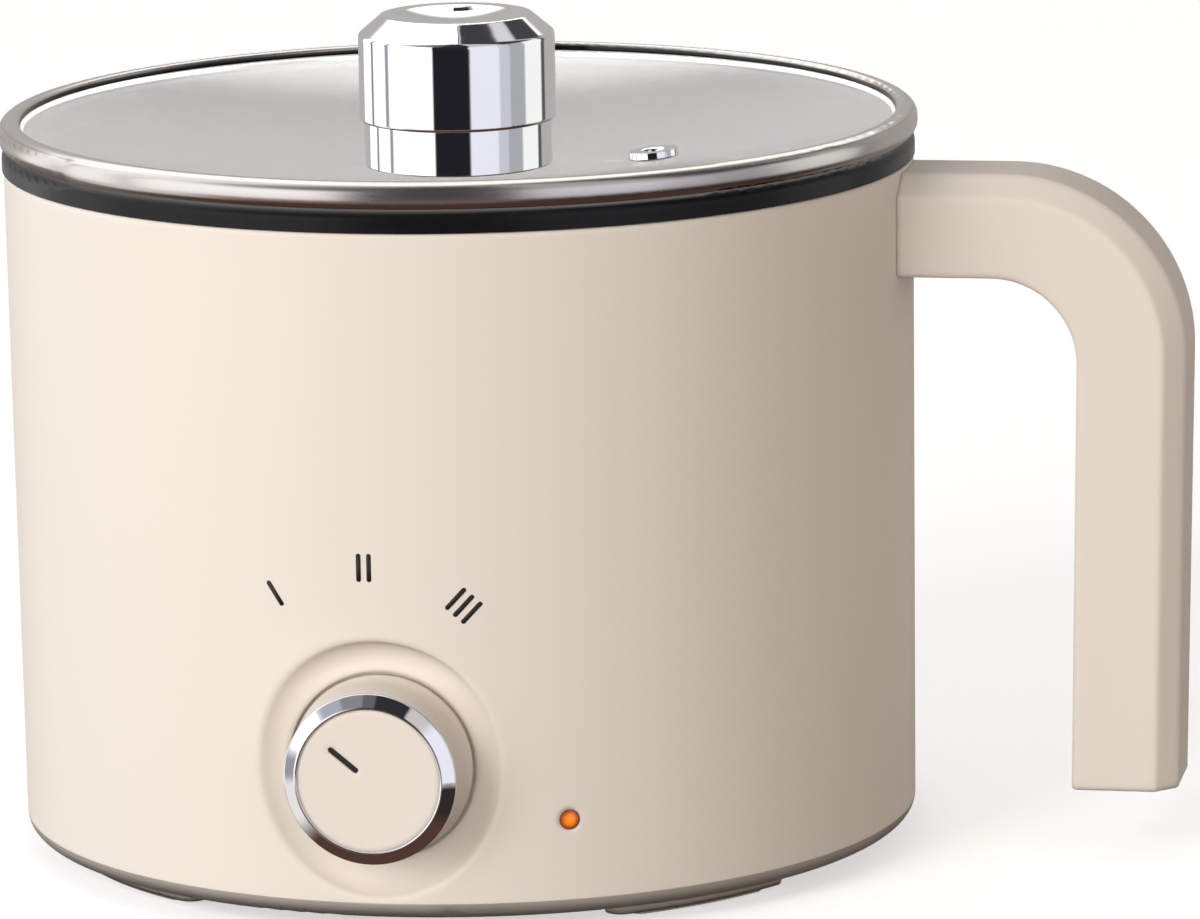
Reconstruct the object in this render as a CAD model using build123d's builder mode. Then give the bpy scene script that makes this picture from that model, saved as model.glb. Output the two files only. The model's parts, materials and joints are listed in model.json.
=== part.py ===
from build123d import *
import os
from math import cos, radians, sin, sqrt

# Electric cooking pot with a lift-off glass lid, an L-shaped side handle and a rotary dial.
# Millimetres. The pot's axis is Z, the worktop is Z = 0, the dial faces -Y and the handle points along +X.

# Cooking pot
pot_radius = 83.5
pot_depth = 89.2
pot_wall = 1.8
pot_base_thickness = 2.4
pot_corner_radius = 16.0
pot_draft = 1.0
pot_mouth_rounding = 2.5
rim_band = 4.4
rim_overhang = 0.3
rim_rounding = 1.9
rim_seat_gap = 0.2

# Outer shell
ground_clearance = 3.4
compartment_height = 48.2
air_gap = 4.0
shell_wall = 2.4
shell_draft = 0.8
base_fillet = 3.4
rib_width = 1.8
rib_clearance = 0.4
rib_root_height = 2.2
rib_slope_height = 3.1
seal_thickness = 0.8
base_flange_width = 5.8
base_flange_thickness = 2.4
base_rim_thickness = 1.5

# Base cover and feet
cover_thickness = 2.2
cover_clearance = 0.3
spigot_height = 3.4
spigot_width = 2.2
foot_count = 4
foot_inset = 6.8
foot_width = 8.0
foot_arc = 25.0
foot_draft = 18.0
foot_rise = 0.7
pad_width = 4.0
pad_arc = 19.0
pad_inset = 0.8
pad_clearance = 0.1
air_slot_count = 20
air_slot_length = 16.0
air_slot_width = 2.4
boss_height = 20.0
boss_radius = 5.2

# Heater under the pot
heater_margin = 20.5
heater_thickness = 4.0
element_margin = 7.5
element_tube_radius = 3.3
element_gap_angle = 62.0
element_seat_gap = 0.05
bead_radius = 3.2
bead_length = 5.0
terminal_radius = 1.5
terminal_length = 9.0
stud_circle_radius = 33.0
stud_count = 3
stud_start_angle = 30.0
stud_radius = 3.5
stud_end_gap = 0.1
shield_drop = 15.6
shield_sheet = 0.8
shield_inset = 6.0
shield_rim_margin = 2.2
shield_flange = 2.6
shield_center_hole = 11.0
shield_hole_clearance = 0.4
nut_flats = 11.0
nut_height = 2.8
thermostat_radius = 8.0
thermostat_height = 9.5
thermostat_ear = 12.5
thermostat_ear_width = 7.0
thermostat_ear_thickness = 1.0
thermostat_blade_length = 6.0
fuse_radius = 2.0
fuse_length = 13.0
fuse_lead_length = 4.0
fuse_offset = 22.0
fuse_clip_sheet = 0.7
fuse_clip_width = 6.0
fuse_clip_foot = 7.0

# Screws
screw_radius = 2.0
screw_clearance = 0.25
screw_head_radius = 3.7
screw_head_height = 2.4
small_screw_radius = 1.3
small_screw_head_radius = 2.5
small_screw_head_height = 1.4
screw_grip = 8.0
screw_seat_gap = 0.05

# Dial, switch and the dish around them
dial_drop = 18.2
dish_depth = 4.8
dish_radius = 25.6
dish_corner = 5.5
dish_edge_rounding = 0.9
dish_wall = 2.2
dial_gap = 0.6
dial_groove = 1.2
dial_base_radius = 18.0
dial_front_radius = 16.9
dial_body_height = 10.6
dial_skirt_wall = 1.9
dial_top_wall = 2.8
dial_ring_height = 2.5
dial_ring_edge = 0.9
dial_ring_width = 2.7
dial_ring_lip = 0.35
dial_face_recess = 0.5
dial_fit = 0.05
pointer_angle = 51.0
pointer_inner = 2.7
pointer_length = 7.2
pointer_width = 1.1
pointer_depth = 0.5
shaft_radius = 3.0
shaft_flat = 0.9
shaft_running_clearance = 0.08
shaft_in_switch = 8.0
hub_radius = 5.4
hub_height = 3.4
hub_floor = 1.6
clip_sheet = 0.6
clip_height = 2.2
clip_gap = 4.6
bush_radius = 4.5
bush_clearance = 0.2
bush_height = 5.0
bush_nut_flats = 13.0
bush_nut_height = 2.2
switch_size = 26.0
switch_corner = 2.0
switch_depth = 15.0
switch_plate = 1.2
switch_blade_width = 4.8
switch_blade_thickness = 0.8
switch_blade_length = 5.0
switch_blade_pitch = 7.5

# Lamp
lamp_angle = 23.5
lamp_rise = 19.4
lamp_radius = 1.95
lamp_clearance = 0.1
lamp_proud = 0.5
lamp_flange_radius = 3.4
lamp_flange_thickness = 1.2
lamp_body_radius = 3.4
lamp_body_length = 15.0
lamp_lead_radius = 0.6
lamp_lead_length = 5.0

# Power inlet
inlet_rise = 20.6
inlet_recess = 1.8
inlet_wall = 2.6
inlet_flange_lip = 1.5
inlet_flange_thickness = 1.6
inlet_body_wall = 1.4
inlet_body_depth = 19.0
inlet_socket_width = 24.2
inlet_socket_height = 16.4
inlet_socket_depth = 14.5
inlet_corner = 2.5
inlet_clearance = 0.25
inlet_snap = 0.9
inlet_snap_ramp = 5.4
inlet_pin_width = 2.0
inlet_pin_height = 4.0
inlet_pin_pitch = 7.0
inlet_pin_offset = 2.0
inlet_pin_setback = 1.5
inlet_tail_length = 8.0

# Leads in the base
lead_radius = 1.1
lead_bend = 6.0
lead_tight_bend = 3.0
lead_straight = 16.0
lead_gap = 0.05

# Handle
handle_reach = 57.2
handle_drop = 0.8
handle_depth = 20.5
handle_width = 24.8
handle_length = 124.5
handle_leg_depth = 22.0
handle_outer_radius = 36.0
handle_inner_radius = 17.0
handle_outer_lean = 2.5
handle_inner_lean = 1.7
handle_chamfer = 4.3
handle_edge_rounding = 1.0
handle_seam = 0.1
handle_wall = 3.0
handle_root_block = 9.0
handle_cover_thickness = 2.6
handle_cover_inset = 2.2
handle_cover_gap = 0.15
handle_cover_margin = 4.0
handle_screw_pitch = 7.4

# Lid
lid_overhang = 0.6
lid_seat_gap = 0.25
ring_height = 5.3
ring_lip = 0.45
ring_width = 4.4
ring_rounding = 2.4
ring_under_rounding = 1.9
ring_wall = 0.8
glass_thickness = 3.1
glass_edge_rounding = 1.2
glass_clearance = 0.1
glass_dish = 10.0
vent_radius = 40.0
eyelet_radius = 5.0
eyelet_neck_radius = 3.4
eyelet_bore = 2.2
eyelet_proud = 1.6
eyelet_flare = 0.8
eyelet_clearance = 0.3
knob_radius = 19.8
knob_height = 21.3
knob_chamfer_width = 4.6
knob_chamfer_height = 3.9
knob_rim = 3.2
knob_dish = 2.2
knob_edge_rounding = 0.6
neck_inset = 1.0
neck_height = 8.9
lid_screw_radius = 2.5
lid_screw_head_radius = 5.2
lid_screw_head_height = 3.0
lid_screw_grip = 10.0
washer_radius = 13.0
washer_thickness = 0.7

# How near a point has to be to a face or line to count as on it
edge_tolerance = 0.01

# Levels and radii that follow from the sizes above
pot_underside = ground_clearance + compartment_height
pot_floor = pot_underside + pot_base_thickness
rim_top = pot_floor + pot_depth
rim_underside = rim_top - pot_wall
shell_top = rim_top - rim_band
shell_top_radius = pot_radius + pot_wall + air_gap + shell_wall
shell_base_radius = shell_top_radius - shell_draft
shell_wall_foot = ground_clearance + base_fillet
rim_radius = shell_top_radius + rim_overhang
rib_outer = rim_radius - pot_wall - rib_clearance
rib_inner = rib_outer - rib_width
rib_top = rim_underside - seal_thickness
heater_underside = pot_underside - heater_thickness
heater_radius = pot_radius - heater_margin
element_ring_radius = heater_radius - element_margin
shield_floor_radius = heater_radius - shield_inset
inlet_body_width = inlet_socket_width + 2 * inlet_body_wall
inlet_body_height = inlet_socket_height + 2 * inlet_body_wall
inlet_flange_width = inlet_body_width + 2 * inlet_flange_lip
inlet_flange_height = inlet_body_height + 2 * inlet_flange_lip


def dome_drop(radius, rise, edge):
    """How far a round dome or dish of a given rise and edge radius has fallen at a radius."""
    sphere = (edge**2 + rise**2) / (2 * rise)
    return sphere - sqrt(sphere**2 - radius**2)


def shell_radius(height):
    """Outer radius of the drafted shell wall at a height."""
    share = (height - shell_wall_foot) / (shell_top - shell_wall_foot)
    return shell_base_radius + share * (shell_top_radius - shell_base_radius)


# Cooking pot: one drawn and coated bowl whose rim rolls out over the shell
with BuildPart() as inner_pot:
    floor_radius = pot_radius - pot_draft
    with BuildSketch(Plane.XZ):
        with BuildLine():
            inside = FilletPolyline(
                (0, pot_floor),
                (floor_radius, pot_floor),
                (pot_radius, rim_top),
                (rim_radius, rim_top),
                (rim_radius, shell_top + rim_seat_gap),
                radius=[pot_corner_radius, pot_mouth_rounding, rim_rounding],
            )
            outside = FilletPolyline(
                (0, pot_underside),
                (floor_radius + pot_wall, pot_underside),
                (pot_radius + pot_wall, rim_underside),
                (rim_radius - pot_wall, rim_underside),
                (rim_radius - pot_wall, shell_top + rim_seat_gap),
                radius=[pot_corner_radius + pot_wall, rim_rounding / 2, 0],
            )
            Line(inside @ 1, outside @ 1)
            Line(inside @ 0, outside @ 0)
        make_face()
    revolve(axis=Axis.Z)
inner_pot.part.label = "inner_pot"

# Seal between the shell's locating rib and the underside of the pot's rim
with BuildPart() as rim_seal:
    with BuildSketch(Plane.XY.offset(rib_top)):
        Circle(rib_outer)
        Circle(rib_inner, mode=Mode.SUBTRACT)
    extrude(amount=seal_thickness)
rim_seal.part.label = "rim_seal"

# Planes for what is set into the shell wall, each with its normal pointing out of the wall
dial_height = pot_underside - dial_drop
dish_floor = shell_radius(dial_height) - dish_depth
dial_plane = Plane(origin=(0, -dish_floor, dial_height), x_dir=(1, 0, 0), z_dir=(0, -1, 0))
dial_section = Plane(origin=(0, -dish_floor, dial_height), x_dir=(1, 0, 0), z_dir=(0, 0, -1))
dial_axis = Axis((0, 0, dial_height), (0, -1, 0))

lamp_height = ground_clearance + lamp_rise
lamp_turn = radians(lamp_angle)
lamp_reach = shell_radius(lamp_height)
lamp_out = Vector(sin(lamp_turn), -cos(lamp_turn), 0)
lamp_across = Vector(cos(lamp_turn), sin(lamp_turn), 0)
lamp_seat = Vector(0, 0, lamp_height) + lamp_out * lamp_reach
lamp_section = Plane(origin=lamp_seat, x_dir=lamp_across, z_dir=(0, 0, -1))
lamp_axis = Axis(lamp_seat, lamp_out)
lamp_plane = Plane(origin=lamp_seat, x_dir=lamp_across, z_dir=lamp_out)

inlet_height = ground_clearance + inlet_rise
inlet_face = shell_radius(inlet_height) - inlet_recess
inlet_plane = Plane(origin=(0, inlet_face, inlet_height), x_dir=(-1, 0, 0), z_dir=(0, 1, 0))

handle_top = shell_top - handle_drop
handle_under = handle_top - handle_depth
handle_bottom = handle_top - handle_length
handle_screw_height = handle_top - handle_depth / 2 - handle_screw_pitch / 4
handle_screw_levels = [
    handle_screw_height - handle_screw_pitch / 2,
    handle_screw_height + handle_screw_pitch / 2,
]

# Full outer form of the shell, used to trim what is moulded onto it
with BuildPart() as shell_form:
    with BuildSketch(Plane.XZ):
        with BuildLine():
            Line((0, ground_clearance), (shell_base_radius - base_fillet, ground_clearance))
            CenterArc((shell_base_radius - base_fillet, shell_wall_foot), base_fillet, -90, 90)
            Polyline(
                (shell_base_radius, shell_wall_foot),
                (shell_top_radius, shell_top),
                (0, shell_top),
                (0, ground_clearance),
            )
        make_face()
    revolve(axis=Axis.Z)

# Flat backing moulded inside the wall behind the dial's dish and behind the power inlet
with BuildPart() as wall_backing:
    with BuildSketch(dial_plane.offset(-dish_wall)):
        Circle(dish_radius + dish_wall)
    extrude(amount=dish_wall + dish_depth)
    with BuildSketch(inlet_plane.offset(-inlet_wall)):
        RectangleRounded(
            inlet_flange_width + 2 * inlet_wall, inlet_flange_height + 2 * inlet_wall, inlet_corner
        )
    extrude(amount=inlet_wall + inlet_recess)
    add(shell_form.part, mode=Mode.INTERSECT)

# Outer shell: drafted wall, locating rib for the pot's rim, inward flange for the base cover
base_seat_radius = shell_base_radius - base_fillet
flange_inner = base_seat_radius - base_flange_width + cover_clearance
flange_under = ground_clearance + base_rim_thickness
flange_top = flange_under + base_flange_thickness
with BuildPart() as outer_shell:
    rib_root = shell_top - rib_root_height
    rib_foot = rib_root - rib_slope_height
    with BuildSketch(Plane.XZ):
        with BuildLine():
            CenterArc((shell_base_radius - base_fillet, shell_wall_foot), base_fillet, -90, 90)
            Polyline(
                (shell_base_radius, shell_wall_foot),
                (shell_top_radius, shell_top),
                (rib_outer, shell_top),
                (rib_outer, rib_top),
                (rib_inner, rib_top),
                (rib_inner, rib_root),
                (shell_radius(rib_foot) - shell_wall, rib_foot),
                (shell_radius(flange_top) - shell_wall, flange_top),
                (flange_inner, flange_top),
                (flange_inner, flange_under),
                (base_seat_radius, flange_under),
                (base_seat_radius, ground_clearance),
            )
        make_face()
    revolve(axis=Axis.Z)
    add(wall_backing.part)
    with BuildSketch(dial_section):
        with BuildLine():
            FilletPolyline(
                (0, 0), (dish_radius, 0), (dish_radius, 2 * dish_depth), (0, 2 * dish_depth),
                radius=[dish_corner, 0],
            )
            Line((0, 2 * dish_depth), (0, 0))
        make_face()
    revolve(axis=dial_axis, mode=Mode.SUBTRACT)
    dish_edges = []
    for edge in outer_shell.edges():
        middle = edge @ 0.5
        off_wall = abs(sqrt(middle.X**2 + middle.Y**2) - shell_radius(middle.Z))
        off_axis = sqrt(middle.X**2 + (middle.Z - dial_height) ** 2)
        if middle.Y < 0 and off_wall < edge_tolerance and off_axis < dish_radius + edge_tolerance:
            dish_edges.append(edge)
    fillet(dish_edges, dish_edge_rounding)
    with BuildSketch(dial_plane):
        Circle(dial_base_radius + dial_gap)
        Circle(dial_base_radius - dial_skirt_wall - dial_gap, mode=Mode.SUBTRACT)
    extrude(amount=-dial_groove, mode=Mode.SUBTRACT)
    with BuildSketch(dial_plane):
        Circle(bush_radius + bush_clearance)
    extrude(amount=-2 * dish_wall, mode=Mode.SUBTRACT)
    with BuildSketch(lamp_plane):
        Circle(lamp_radius + lamp_clearance)
    extrude(amount=2 * shell_wall, both=True, mode=Mode.SUBTRACT)
    with BuildSketch(inlet_plane):
        RectangleRounded(
            inlet_flange_width + 2 * inlet_clearance,
            inlet_flange_height + 2 * inlet_clearance,
            inlet_corner,
        )
    extrude(amount=2 * inlet_recess, mode=Mode.SUBTRACT)
    with BuildSketch(inlet_plane):
        RectangleRounded(
            inlet_body_width + 2 * inlet_clearance,
            inlet_body_height + 2 * inlet_clearance,
            inlet_corner,
        )
    extrude(amount=-2 * inlet_wall, mode=Mode.SUBTRACT)
    with BuildSketch(Plane.YZ.offset(shell_top_radius)):
        with Locations(*[(0, level) for level in handle_screw_levels]):
            Circle(screw_radius + screw_clearance)
    extrude(amount=-2 * shell_wall, mode=Mode.SUBTRACT)
outer_shell.part.label = "outer_shell"

# Base cover: flat plate with a rim under the shell's flange, a spigot inside it, four arc feet, vent slots
# and three tubular bosses for the screws that draw the cover up to the pot's studs
cover_radius = base_seat_radius - cover_clearance
spigot_outer = flange_inner - cover_clearance
cover_top = ground_clearance + cover_thickness
boss_top = ground_clearance + boss_height
screw_ceiling = boss_top - screw_grip
foot_drop = ground_clearance - foot_rise
foot_radius = cover_radius - foot_inset
air_slot_radius = (stud_circle_radius + boss_radius + foot_radius - foot_width / 2) / 2
foot_centers = [(number + 0.5) * 360 / foot_count for number in range(foot_count)]
with BuildPart() as base_cover:
    with BuildSketch(Plane.XZ):
        with BuildLine():
            Polyline(
                (0, ground_clearance),
                (cover_radius, ground_clearance),
                (cover_radius, flange_under - screw_seat_gap),
                (spigot_outer, flange_under - screw_seat_gap),
                (spigot_outer, cover_top + spigot_height),
                (spigot_outer - spigot_width, cover_top + spigot_height),
                (spigot_outer - spigot_width, cover_top),
                (0, cover_top),
                close=True,
            )
        make_face()
    revolve(axis=Axis.Z)
    with BuildSketch(Plane.XY.offset(ground_clearance)):
        for center in foot_centers:
            foot_line = CenterArc((0, 0), foot_radius, center - foot_arc / 2, foot_arc, mode=Mode.PRIVATE)
            SlotArc(foot_line, foot_width)
    extrude(amount=-foot_drop, taper=foot_draft)
    with BuildSketch(Plane.XY.offset(foot_rise)):
        for center in foot_centers:
            pad_line = CenterArc((0, 0), foot_radius, center - pad_arc / 2, pad_arc, mode=Mode.PRIVATE)
            SlotArc(pad_line, pad_width + 2 * pad_clearance)
    extrude(amount=pad_inset, mode=Mode.SUBTRACT)
    with BuildSketch(Plane.XY.offset(cover_top)):
        with PolarLocations(stud_circle_radius, stud_count, start_angle=stud_start_angle):
            Circle(boss_radius)
    extrude(amount=boss_top - cover_top)
    with BuildSketch(Plane.XY.offset(ground_clearance)):
        with PolarLocations(stud_circle_radius, stud_count, start_angle=stud_start_angle):
            Circle(screw_head_radius + screw_clearance)
    extrude(amount=screw_ceiling - ground_clearance, mode=Mode.SUBTRACT)
    with BuildSketch(Plane.XY.offset(ground_clearance)):
        with PolarLocations(stud_circle_radius, stud_count, start_angle=stud_start_angle):
            Circle(screw_radius + screw_clearance)
    extrude(amount=boss_height, mode=Mode.SUBTRACT)
    with BuildSketch(Plane.XY.offset(ground_clearance)):
        with PolarLocations(air_slot_radius, air_slot_count):
            SlotOverall(air_slot_length, air_slot_width)
    extrude(amount=cover_thickness, mode=Mode.SUBTRACT)
base_cover.part.label = "base_cover"

# Foot pads: soft arcs glued into the feet, which carry the pot
with BuildPart() as foot_pads:
    with BuildSketch(Plane.XY):
        for center in foot_centers:
            pad_line = CenterArc((0, 0), foot_radius, center - pad_arc / 2, pad_arc, mode=Mode.PRIVATE)
            SlotArc(pad_line, pad_width)
    extrude(amount=foot_rise + pad_inset)
foot_pads.part.label = "foot_pads"

# Screws that hold the base cover to the pot's studs
stud_end = boss_top + stud_end_gap
with BuildPart() as base_screws:
    with BuildSketch(Plane.XY.offset(screw_ceiling - screw_seat_gap)):
        with PolarLocations(stud_circle_radius, stud_count, start_angle=stud_start_angle):
            Circle(screw_head_radius)
    extrude(amount=-screw_head_height)
    with BuildSketch(Plane.XY.offset(screw_ceiling - screw_seat_gap)):
        with PolarLocations(stud_circle_radius, stud_count, start_angle=stud_start_angle):
            Circle(screw_radius)
    extrude(amount=2 * screw_grip)
base_screws.part.label = "base_screws"

# Heater plate bonded under the pot
with BuildPart() as heater_plate:
    with BuildSketch(Plane.XY.offset(heater_underside)):
        Circle(heater_radius)
    extrude(amount=heater_thickness)
    chamfer(heater_plate.edges().group_by(Axis.Z)[0], heater_thickness / 4)
heater_plate.part.label = "heater_plate"

# Tubular heating element: a ring left open at the back, with a bead and a pin on each end
element_height = heater_underside - max(element_tube_radius, bead_radius) - element_seat_gap
element_start = 90 + element_gap_angle / 2
element_arc = 360 - element_gap_angle
with BuildPart() as heating_element:
    with BuildLine(Plane.XY.offset(element_height)):
        element_line = CenterArc((0, 0), element_ring_radius, element_start, element_arc)
    with BuildSketch(Plane(origin=element_line @ 0, z_dir=element_line % 0)):
        Circle(element_tube_radius)
    sweep(path=element_line)
heating_element.part.label = "heating_element"

element_ends = [
    Plane(origin=element_line @ 0, z_dir=(element_line % 0) * -1),
    Plane(origin=element_line @ 1, z_dir=element_line % 1),
]
with BuildPart() as element_beads:
    for end in element_ends:
        with BuildSketch(end):
            Circle(bead_radius)
            Circle(terminal_radius, mode=Mode.SUBTRACT)
        extrude(amount=bead_length)
element_beads.part.label = "element_beads"

with BuildPart() as element_pins:
    for end in element_ends:
        with BuildSketch(end):
            Circle(terminal_radius)
        extrude(amount=bead_length + terminal_length)
element_pins.part.label = "element_pins"

# Studs fixed under the heater plate, drilled for the base screws
with BuildPart() as pot_studs:
    with BuildSketch(Plane.XY.offset(stud_end)):
        with PolarLocations(stud_circle_radius, stud_count, start_angle=stud_start_angle):
            Circle(stud_radius)
    extrude(amount=heater_underside - stud_end)
    with BuildSketch(Plane.XY.offset(stud_end)):
        with PolarLocations(stud_circle_radius, stud_count, start_angle=stud_start_angle):
            Circle(screw_radius + screw_seat_gap)
    extrude(amount=2 * screw_grip, mode=Mode.SUBTRACT)
pot_studs.part.label = "pot_studs"

# Heat shield: a sheet pan hung on the studs, whose flange meets the pot around the heater plate
shield_floor = heater_underside - shield_drop
shield_rim_radius = heater_radius + shield_rim_margin
with BuildPart() as heat_shield:
    with BuildSketch(Plane.XZ):
        with BuildLine():
            Polyline(
                (shield_center_hole, shield_floor),
                (shield_floor_radius, shield_floor),
                (shield_rim_radius, pot_underside - shield_sheet),
                (shield_rim_radius + shield_flange, pot_underside - shield_sheet),
                (shield_rim_radius + shield_flange, pot_underside),
                (shield_rim_radius - shield_sheet, pot_underside),
                (shield_floor_radius - shield_sheet, shield_floor + shield_sheet),
                (shield_center_hole, shield_floor + shield_sheet),
                close=True,
            )
        make_face()
    revolve(axis=Axis.Z)
    with BuildSketch(Plane.XY.offset(shield_floor)):
        with PolarLocations(stud_circle_radius, stud_count, start_angle=stud_start_angle):
            Circle(stud_radius + shield_hole_clearance)
    extrude(amount=shield_sheet, mode=Mode.SUBTRACT)
heat_shield.part.label = "heat_shield"

with BuildPart() as shield_nuts:
    with BuildSketch(Plane.XY.offset(shield_floor)):
        with PolarLocations(stud_circle_radius, stud_count, start_angle=stud_start_angle):
            RegularPolygon(nut_flats / 2, 6, major_radius=False)
            Circle(stud_radius + screw_seat_gap, mode=Mode.SUBTRACT)
    extrude(amount=-nut_height)
shield_nuts.part.label = "shield_nuts"

# Thermostat under the middle of the heater plate, on a two-eared strap
with BuildPart() as thermostat:
    with BuildSketch(Plane.XY.offset(heater_underside)):
        SlotOverall(2 * thermostat_ear + thermostat_ear_width, thermostat_ear_width, rotation=90)
        with Locations((0, thermostat_ear), (0, -thermostat_ear)):
            Circle(small_screw_radius + screw_clearance, mode=Mode.SUBTRACT)
    extrude(amount=-thermostat_ear_thickness)
    with BuildSketch(Plane.XY.offset(heater_underside)):
        Circle(thermostat_radius)
    extrude(amount=-thermostat_height)
    with BuildSketch(Plane.XY.offset(heater_underside - thermostat_height)):
        with Locations((thermostat_radius / 2, 0), (-thermostat_radius / 2, 0)):
            Rectangle(switch_blade_thickness, switch_blade_width)
    extrude(amount=-thermostat_blade_length)
thermostat.part.label = "thermostat"

# Thermal fuse across the heater plate, under a saddle clip
fuse_height = heater_underside - fuse_radius - element_seat_gap
fuse_plane = Plane(origin=(-fuse_offset, 0, fuse_height), x_dir=(1, 0, 0), z_dir=(0, 1, 0))
with BuildPart() as thermal_fuse:
    with BuildSketch(fuse_plane):
        Circle(fuse_radius)
    extrude(amount=fuse_length / 2, both=True)
    fillet(thermal_fuse.edges().filter_by(GeomType.CIRCLE), fuse_radius / 4)
    with BuildSketch(fuse_plane):
        Circle(fuse_radius / 4)
    extrude(amount=fuse_length / 2 + fuse_lead_length, both=True)
thermal_fuse.part.label = "thermal_fuse"

clip_inner = fuse_radius + 2 * element_seat_gap
clip_outer = clip_inner + fuse_clip_sheet
clip_seat = heater_underside - fuse_height
with BuildPart() as fuse_clip:
    with BuildSketch(fuse_plane):
        Circle(clip_outer)
        with Locations((0, -clip_seat / 2)):
            Rectangle(2 * clip_outer, clip_seat)
        with Locations((clip_outer + fuse_clip_foot / 2, -clip_seat + fuse_clip_sheet / 2)):
            Rectangle(fuse_clip_foot + fuse_clip_sheet, fuse_clip_sheet)
        Circle(clip_inner, mode=Mode.SUBTRACT)
        with Locations((0, -clip_seat / 2)):
            Rectangle(2 * clip_inner, clip_seat, mode=Mode.SUBTRACT)
        with Locations((0, -clip_seat - clip_outer)):
            Rectangle(4 * clip_outer, 2 * clip_outer, mode=Mode.SUBTRACT)
    extrude(amount=fuse_clip_width / 2, both=True)
fuse_clip.part.label = "fuse_clip"

# Small screws that hold the thermostat's ears
with BuildPart() as thermostat_screws:
    with BuildSketch(Plane.XY.offset(heater_underside - thermostat_ear_thickness - screw_seat_gap)):
        with Locations((0, thermostat_ear), (0, -thermostat_ear)):
            Circle(small_screw_head_radius)
    extrude(amount=-small_screw_head_height)
    with BuildSketch(Plane.XY.offset(heater_underside - thermostat_ear_thickness - screw_seat_gap)):
        with Locations((0, thermostat_ear), (0, -thermostat_ear)):
            Circle(small_screw_radius)
    extrude(amount=thermostat_ear_thickness)
thermostat_screws.part.label = "thermostat_screws"

# Rotary switch: moulded body, metal front plate with its threaded bush, nut on the dish floor
plate_front = -dish_wall
plate_back = plate_front - switch_plate
switch_back = plate_back - switch_depth
with BuildPart() as switch_frame:
    with BuildSketch(dial_plane.offset(plate_back)):
        RectangleRounded(switch_size, switch_size, switch_corner)
    extrude(amount=switch_plate)
    with BuildSketch(dial_plane.offset(plate_back)):
        Circle(bush_radius)
    extrude(amount=bush_height - plate_back)
    with BuildSketch(dial_plane.offset(plate_back)):
        Circle(shaft_radius + shaft_running_clearance)
    extrude(amount=bush_height - plate_back, mode=Mode.SUBTRACT)
switch_frame.part.label = "switch_frame"

with BuildPart() as switch_body:
    with BuildSketch(dial_plane.offset(plate_back)):
        RectangleRounded(switch_size, switch_size, switch_corner)
    extrude(amount=-switch_depth)
    with BuildSketch(dial_plane.offset(plate_back)):
        Circle(shaft_radius + shaft_running_clearance)
    extrude(amount=-shaft_in_switch - dial_gap, mode=Mode.SUBTRACT)
    fillet(switch_body.edges().group_by(Axis.Y)[-1], switch_corner / 2)
switch_body.part.label = "switch_body"

with BuildPart() as switch_terminals:
    with BuildSketch(dial_plane.offset(switch_back)):
        with Locations((0, -switch_blade_pitch / 2)):
            with GridLocations(switch_blade_pitch, switch_blade_pitch, 3, 2):
                Rectangle(switch_blade_thickness, switch_blade_width)
    extrude(amount=-switch_blade_length)
switch_terminals.part.label = "switch_terminals"

with BuildPart() as switch_nut:
    with BuildSketch(dial_plane):
        RegularPolygon(bush_nut_flats / 2, 6, major_radius=False)
        Circle(bush_radius + screw_seat_gap, mode=Mode.SUBTRACT)
    extrude(amount=bush_nut_height)
switch_nut.part.label = "switch_nut"

# Dial, which turns with the switch shaft: knob whose skirt runs in a groove of the dish floor, chrome ring,
# face and inlaid pointer
dial_foot = dial_gap - dial_groove
dial_top = dial_gap + dial_body_height
hub_bottom = dial_top - dial_top_wall - hub_height
hub_ceiling = dial_top - hub_floor
with BuildPart() as switch_shaft:
    with BuildSketch(dial_plane.offset(plate_back - shaft_in_switch)):
        Circle(shaft_radius)
    extrude(amount=hub_ceiling - screw_seat_gap - plate_back + shaft_in_switch)
    with BuildSketch(dial_plane.offset(hub_bottom)):
        with Locations((0, shaft_radius)):
            Rectangle(2 * shaft_radius, 2 * shaft_flat)
    extrude(amount=hub_ceiling - hub_bottom, mode=Mode.SUBTRACT)
switch_shaft.part.label = "switch_shaft"

with BuildPart() as dial_knob:
    cavity_radius = dial_front_radius - dial_skirt_wall
    with BuildSketch(dial_section):
        with BuildLine():
            Polyline(
                (0, dial_top),
                (dial_front_radius, dial_top),
                (dial_base_radius, dial_foot),
                (dial_base_radius - dial_skirt_wall, dial_foot),
                (cavity_radius, dial_top - dial_top_wall),
                (hub_radius, dial_top - dial_top_wall),
                (hub_radius, hub_bottom),
                (0, hub_bottom),
                close=True,
            )
        make_face()
    revolve(axis=dial_axis)
    with BuildSketch(dial_plane.offset(hub_bottom)):
        Circle(shaft_radius + dial_fit)
        with Locations((0, shaft_radius)):
            Rectangle(2 * hub_radius, 2 * (shaft_flat - dial_fit), mode=Mode.SUBTRACT)
    extrude(amount=hub_ceiling - hub_bottom, mode=Mode.SUBTRACT)
dial_knob.part.label = "dial_knob"

with BuildPart() as dial_clip:
    with BuildSketch(dial_plane.offset(hub_bottom)):
        Circle(hub_radius + dial_fit + clip_sheet)
        Circle(hub_radius + dial_fit, mode=Mode.SUBTRACT)
        with Locations((0, -hub_radius)):
            Rectangle(clip_gap, hub_radius, mode=Mode.SUBTRACT)
    extrude(amount=clip_height)
dial_clip.part.label = "dial_clip"

ring_inner = dial_front_radius - dial_ring_width
ring_front = dial_top + dial_ring_height
with BuildPart() as dial_ring:
    with BuildSketch(dial_section):
        with BuildLine():
            Polyline(
                (ring_inner, dial_top),
                (dial_front_radius, dial_top),
                (dial_front_radius, dial_top + dial_ring_edge),
                (ring_inner + dial_ring_lip, ring_front),
                (ring_inner, ring_front),
                close=True,
            )
        make_face()
    revolve(axis=dial_axis)
dial_ring.part.label = "dial_ring"

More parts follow.
